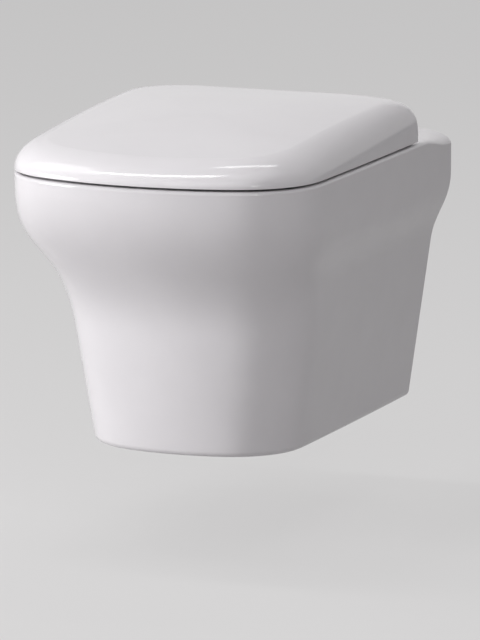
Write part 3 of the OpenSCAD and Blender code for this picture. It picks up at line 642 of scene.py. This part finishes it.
def buildSeat():
    inset, thickness, pegR = seat["inset"], seat["thickness"], seat["pegR"]
    outline = bothSides(halfToRear(skirtPlan(0), seat["rear"] - inset, seat["cornerR"] + inset,
                                   seat["counts"]))
    z0 = pan["rimZ"] + seat["lift"]
    rows = []
    for x, y, nx, ny in outline:
        ox, oy = x - inset * nx, y - inset * ny
        ix, iy = seatHole(math.atan2(oy - seatMiddle, ox))
        row = []
        for j in range(seat["section"]):
            a = 2 * math.pi * j / seat["section"]
            u, v = signPow(math.cos(a), seat["widthPower"]), signPow(math.sin(a), seat["heightPower"])
            row.append(((ox + ix) / 2 + u * (ox - ix) / 2, (oy + iy) / 2 + u * (oy - iy) / 2,
                        z0 + thickness / 2 * (1 + v)))
        rows.append(row)
    ring = hoopObject("seatRing", rows)
    armEnds = [(-seat["rear"] - reach, z0 + share * thickness)
               for reach, share in (seat["armUpper"], seat["armLower"])]
    for side in (-1, 1):
        join(ring, hingeArm("seatArm", side, hinge["seatEyeX"], *armEnds))
        cut(ring, eyeBore(side, hinge["seatEyeX"]))
        for x, y in seat["pegs"]:
            stops = [(z0 + seat["pegDepth"], pegR), (z0 - past["near"], pegR)]
            cut(ring, roundBar("pegBore", "z", (side * x, y), stops, seat["pegPoints"]))
    ring.name = "duroplastSeat"
    return finishSurface(ring)


def linear(hexColour):
    parts = [int(hexColour[i:i + 2], 16) / 255 for i in (1, 3, 5)]
    return tuple(c / 12.92 if c <= 0.04045 else ((c + 0.055) / 1.055) ** 2.4 for c in parts) + (1.0,)


# Adds a node, sets its sockets and properties, and links what is given as socket: (node, output)
def addNode(tree, kind, links=None, props=None, **values):
    node = tree.nodes.new(kind)
    for name, value in (props or {}).items():
        setattr(node, name, value)
    for name, value in values.items():
        node.inputs[name.replace("_", " ")].default_value = value
    for name, (source, output) in (links or {}).items():
        tree.links.new(source.outputs[output], node.inputs[name])
    return node


def startMaterial(name, **values):
    material = bpy.data.materials.new(name)
    material.use_nodes = True
    tree = material.node_tree
    shader = tree.nodes["Principled BSDF"]
    for key, value in values.items():
        shader.inputs[key.replace("_", " ")].default_value = value
    place = addNode(tree, "ShaderNodeTexCoord")
    return material, tree, shader, place


# Soft variation of colour and roughness, and fine bumps as (size, depth), all in millimetres
def dress(tree, shader, place, tones, toneSize, roughness, bumps):
    where = {"Vector": (place, "Object")}
    tone = addNode(tree, "ShaderNodeTexNoise", where, Scale=1 / (toneSize * mm), Detail=3.0, Roughness=0.55)
    ramp = addNode(tree, "ShaderNodeValToRGB", {"Fac": (tone, "Fac")})
    for stop, position, colour in zip(ramp.color_ramp.elements, (0.3, 0.7), tones):
        stop.position, stop.color = position, linear(colour)
    tree.links.new(ramp.outputs["Color"], shader.inputs["Base Color"])
    sheen = addNode(tree, "ShaderNodeMapRange", {"Value": (tone, "Fac")}, From_Min=0.25, From_Max=0.75,
                    To_Min=roughness[0], To_Max=roughness[1])
    tree.links.new(sheen.outputs["Result"], shader.inputs["Roughness"])
    previous = None
    for size, depth in bumps:
        noise = addNode(tree, "ShaderNodeTexNoise", where, Scale=1 / (size * mm), Detail=2.0, Roughness=0.5)
        links = {"Height": (noise, "Fac")}
        if previous:
            links["Normal"] = (previous, "Normal")
        previous = addNode(tree, "ShaderNodeBump", links, Strength=1.0, Distance=depth * mm)
    if previous:
        tree.links.new(previous.outputs["Normal"], shader.inputs["Normal"])


# Vitreous china: sprayed opaque white glaze, fired to glass. It pools a little while it is soft, so wide
# shallow waves bend the reflections.
def vitreousChina():
    material, tree, shader, place = startMaterial("vitreousChinaGlaze", IOR=1.52)
    dress(tree, shader, place, tones=("#ece9ec", "#f0edf0"), toneSize=90, roughness=(0.05, 0.085),
          bumps=((38, 0.10), (9, 0.008)))
    return material


# Urea duroplast: pressed in a polished mould, hard and glossy like the glaze but a touch softer in its
# reflections, with a faint orange peel
def duroplast():
    material, tree, shader, place = startMaterial("mouldedDuroplast", IOR=1.56)
    dress(tree, shader, place, tones=("#edeaed", "#f0edf0"), toneSize=120, roughness=(0.10, 0.14),
          bumps=((3.2, 0.0022), (45, 0.03)))
    return material


# EPDM rubber or a pale elastomer: compression moulded, which leaves a dull, slightly mottled skin
def epdmRubber(name, tones):
    material, tree, shader, place = startMaterial(name, IOR=1.5)
    dress(tree, shader, place, tones, toneSize=6, roughness=(0.62, 0.74), bumps=((1.2, 0.03),))
    return material


# POM and PE parts: injection moulded, satin from a fine spark-eroded mould, or smoother for the covers
def mouldedPlastic(name, tones, roughness=(0.36, 0.44)):
    material, tree, shader, place = startMaterial(name, IOR=1.48)
    dress(tree, shader, place, tones, toneSize=14, roughness=roughness, bumps=((0.7, 0.012),))
    return material


# Stainless steel: turned and brushed along the hinge axis, so fine lines stretch the reflections. Real grain
# is about 0.05 mm wide; it is drawn 0.25 mm wide, so that it shows.
def brushedSteel():
    material, tree, shader, place = startMaterial("brushedStainless", Metallic=1.0)
    grainLength, grainWidth = 3.5 * mm, 0.25 * mm
    across = grainLength / grainWidth
    stretch = addNode(tree, "ShaderNodeMapping", {"Vector": (place, "Object")}, Scale=(1.0, across, across))
    grain = addNode(tree, "ShaderNodeTexNoise", {"Vector": (stretch, "Vector")}, Scale=1 / grainLength,
                    Detail=4.0, Roughness=0.6)
    ramp = addNode(tree, "ShaderNodeValToRGB", {"Fac": (grain, "Fac")})
    for stop, colour in zip(ramp.color_ramp.elements, ("#b4b7b9", "#d0d2d3")):
        stop.color = linear(colour)
    tree.links.new(ramp.outputs["Color"], shader.inputs["Base Color"])
    rough = addNode(tree, "ShaderNodeMapRange", {"Value": (grain, "Fac")}, To_Min=0.2, To_Max=0.36)
    tree.links.new(rough.outputs["Result"], shader.inputs["Roughness"])
    bump = addNode(tree, "ShaderNodeBump", {"Height": (grain, "Fac")}, Strength=1.0, Distance=0.004 * mm)
    tree.links.new(bump.outputs["Normal"], shader.inputs["Normal"])
    return material


# Zinc die casting, plated: greyer and rougher than the steel, with the grainy skin of the casting
def castZinc():
    material, tree, shader, place = startMaterial("platedZincCasting", Metallic=1.0)
    dress(tree, shader, place, tones=("#96999b", "#aeb0b1"), toneSize=5, roughness=(0.38, 0.52),
          bumps=((1.6, 0.05), (0.5, 0.012)))
    return material


materials = {
    "glaze": vitreousChina(),
    "duroplast": duroplast(),
    "rubber": epdmRubber("epdmRubber", ("#1c1d1f", "#26272a")),
    "bumper": epdmRubber("paleElastomer", ("#b9bcbf", "#c6c8ca")),
    "plastic": mouldedPlastic("mouldedPolyethylene", ("#d6d6d2", "#dededa")),
    "cover": mouldedPlastic("mouldedCover", ("#dfe0e0", "#e6e7e7"), (0.2, 0.28)),
    "bush": mouldedPlastic("acetalBush", ("#cdc9bb", "#d6d2c5")),
    "damper": mouldedPlastic("damperHousing", ("#2b2d30", "#35373a")),
    "cast_metal": castZinc(),
    "steel": brushedSteel(),
}
print("materials made")

slotOf = {part["node"]: part["material_slot"] for part in frame["record"]["subparts"]}
for name, obj in nodes.items():
    obj.data.materials.clear()
    obj.data.materials.append(materials[slotOf[name]])

bodyOf = {"pan": "toilet", "seat": "seat_assembly", "lid": "lid_assembly"}
for node, build in (("pan", buildPan), ("seat", buildSeat), ("lid", buildLid)):
    piece = build()
    piece.data.materials.clear()
    piece.data.materials.append(materials[slotOf[node]])
    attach(piece, bodyOf[node])
    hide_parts(node)
    print(node, "built with", len(piece.data.polygons), "faces")

studio = {
    # the floor, how much of its pale glow the camera sees, and how much of the background mirrors see
    "floorZ": -0.358, "floorSize": 9.0, "floorColour": "#bab9b9", "backColour": "#f4f3f3", "backShare": 0.56,
    "mirrorShare": 0.65, "worldColour": "#e9e6e9", "worldStrength": 0.14,
    "lamps": (
        # name, place, aim, size, power, colour
        ("key", (-3.38, -2.65, 0.75), (0, -0.3, 0), (1.3, 1.4), 124.0, "#ffffff"),
        ("left", (-2.4, -0.5, 2.6), (0, -0.4, 0), (1.6, 1.6), 15.0, "#ffffff"),
        ("upper", (-1.02, -0.72, 3.1), (-0.98, -0.72, 0), (0.2, 1.6), 18.0, "#ffffff"),
        ("rear", (-0.15, 0.86, 3.0), (0, -0.4, 0), (1.25, 0.14), 4.0, "#ffffff"),
        ("front", (0.69, -3.54, 2.59), (0, -0.3, 0), (3.2, 2.4), 25.0, "#ffffff"),
        ("right", (1.42, -0.55, 3.95), (0, -0.3, 0), (2.6, 2.6), 15.0, "#ffffff"),
        ("kicker", (2.32, -2.94, 1.34), (0.1, -0.5, 0.08), (0.5, 0.5), 12.0, "#ffffff"),
    ),
    # a broad soft light from behind, so that the wall side isn't black
    "fill": {"from": (0.9, 3.0, 1.7), "angle": 90.0, "strength": 0.26},
}


# How far a ray sees the pale background: camera rays wholly, mirrored and transmitted ones by a share of it
def seenRays(tree):
    ray = addNode(tree, "ShaderNodeLightPath")
    mirror = addNode(tree, "ShaderNodeMath", {}, {"operation": "MAXIMUM"})
    tree.links.new(ray.outputs["Is Glossy Ray"], mirror.inputs[0])
    tree.links.new(ray.outputs["Is Transmission Ray"], mirror.inputs[1])
    dimmed = addNode(tree, "ShaderNodeMath", {"Value": (mirror, "Value")}, {"operation": "MULTIPLY"})
    dimmed.inputs[1].default_value = studio["mirrorShare"]
    seen = addNode(tree, "ShaderNodeMath", {}, {"operation": "MAXIMUM"})
    tree.links.new(ray.outputs["Is Camera Ray"], seen.inputs[0])
    tree.links.new(dimmed.outputs["Value"], seen.inputs[1])
    return seen, "Value"


def buildStudio():
    bm = bmesh.new()
    s, z = studio["floorSize"], studio["floorZ"]
    corners = [bm.verts.new(p) for p in ((-s, -s, z), (s, -s, z), (s, s, z), (-s, s, z))]
    bm.faces.new(corners)
    floor = meshObject(bm, "studioFloor")
    material, tree, shader, place = startMaterial("studioFloor", Roughness=0.9)
    shader.inputs["Base Color"].default_value = linear(studio["floorColour"])
    shader.inputs["Specular IOR Level"].default_value = 0.0
    pale = addNode(tree, "ShaderNodeEmission", Color=linear(studio["backColour"]))
    share = addNode(tree, "ShaderNodeMath", {"Value": seenRays(tree)}, {"operation": "MULTIPLY"})
    share.inputs[1].default_value = studio["backShare"]
    blend = addNode(tree, "ShaderNodeMixShader", {"Fac": (share, "Value")})
    tree.links.new(shader.outputs["BSDF"], blend.inputs[1])
    tree.links.new(pale.outputs["Emission"], blend.inputs[2])
    tree.links.new(blend.outputs["Shader"], tree.nodes["Material Output"].inputs["Surface"])
    floor.data.materials.append(material)

    world = bpy.data.worlds.new("studioWorld")
    bpy.context.scene.world = world
    world.use_nodes = True
    tree = world.node_tree
    background = tree.nodes["Background"]
    background.inputs["Color"].default_value = linear(studio["worldColour"])
    background.inputs["Strength"].default_value = studio["worldStrength"]
    white = addNode(tree, "ShaderNodeBackground", Color=linear(studio["backColour"]), Strength=1.0)
    blend = addNode(tree, "ShaderNodeMixShader", {"Fac": seenRays(tree)})
    tree.links.new(background.outputs["Background"], blend.inputs[1])
    tree.links.new(white.outputs["Background"], blend.inputs[2])
    tree.links.new(blend.outputs["Shader"], tree.nodes["World Output"].inputs["Surface"])

    for name, place, aim, size, power, colour in studio["lamps"]:
        lamp = bpy.data.lights.new(name, "AREA")
        lamp.shape, lamp.size, lamp.size_y = "RECTANGLE", size[0], size[1]
        lamp.energy, lamp.color = power, linear(colour)[:3]
        obj = bpy.data.objects.new(name, lamp)
        obj.location = place
        obj.rotation_euler = (Vector(aim) - Vector(place)).to_track_quat("-Z", "Y").to_euler()
        bpy.context.scene.collection.objects.link(obj)

    fill = bpy.data.lights.new("fill", "SUN")
    fill.energy, fill.angle = studio["fill"]["strength"], math.radians(studio["fill"]["angle"])
    obj = bpy.data.objects.new("fill", fill)
    obj.rotation_euler = Vector(studio["fill"]["from"]).to_track_quat("Z", "Y").to_euler()
    bpy.context.scene.collection.objects.link(obj)


buildStudio()

# The photograph's viewpoint, on the seated user's front left and about ten degrees above level
view = {"location": (2.7765, -6.9835, 1.2001), "pitch": 79.774, "yaw": 22.33, "lens": 365.6, "sensor": 36.0}
cameraData = bpy.data.cameras.new("camera")
cameraData.lens, cameraData.sensor_width = view["lens"], view["sensor"]
camera = bpy.data.objects.new("camera", cameraData)
camera.location = view["location"]
camera.rotation_euler = (math.radians(view["pitch"]), 0, math.radians(view["yaw"]))
bpy.context.scene.collection.objects.link(camera)
bpy.context.scene.camera = camera
bpy.context.scene.view_settings.view_transform = "Standard"
print("studio and camera set")
